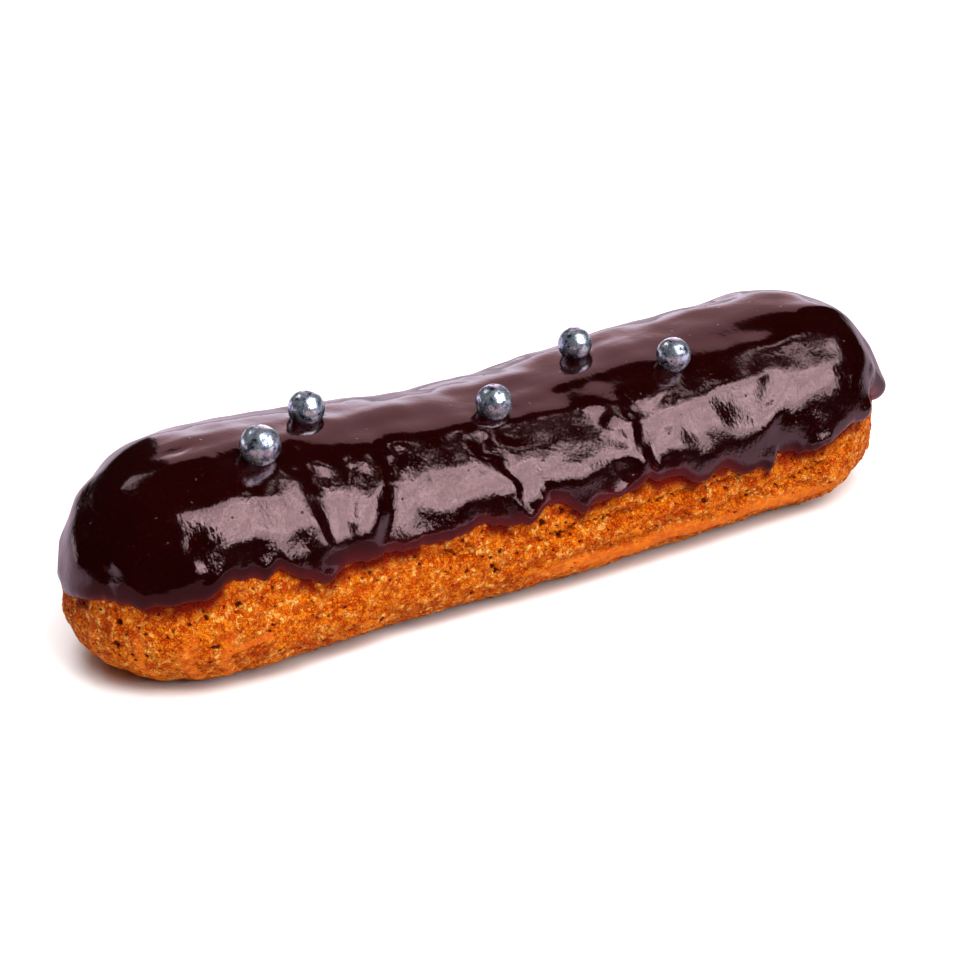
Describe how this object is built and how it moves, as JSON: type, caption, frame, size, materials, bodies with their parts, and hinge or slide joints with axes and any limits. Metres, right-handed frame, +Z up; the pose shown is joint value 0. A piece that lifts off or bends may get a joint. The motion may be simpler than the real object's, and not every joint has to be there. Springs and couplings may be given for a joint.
{
  "type": "chocolate eclair",
  "caption": "Long rounded choux finger with a baked crust, an uneven dark chocolate glaze over its top, and silver sugar pearls pressed into the glaze.",
  "frame": {"origin": "centre of the bounding box on the flat underside", "axes": "+X along the eclair towards its slightly higher, narrower-ended side, +Z up from the flat base, shown side towards -Y"},
  "size_m": [0.1412, 0.0398, 0.0363],
  "materials": {
    "baked_crust": "golden brown baked choux crust, grainy with small pores, satin; stands in for baked pastry",
    "dark_chocolate": "very dark red-brown poured chocolate glaze, high gloss; stands in for set chocolate",
    "silver_sugar": "mottled silver coating over a hard sugar ball, semi-polished with small dark flecks"
  },
  "bodies": {
    "root": {"choux_pastry": "baked_crust", "chocolate_glaze": "dark_chocolate", "silver_pearl_1": "silver_sugar", "silver_pearl_2": "silver_sugar", "silver_pearl_3": "silver_sugar", "silver_pearl_4": "silver_sugar", "silver_pearl_5": "silver_sugar"}
  },
  "joints": []
}
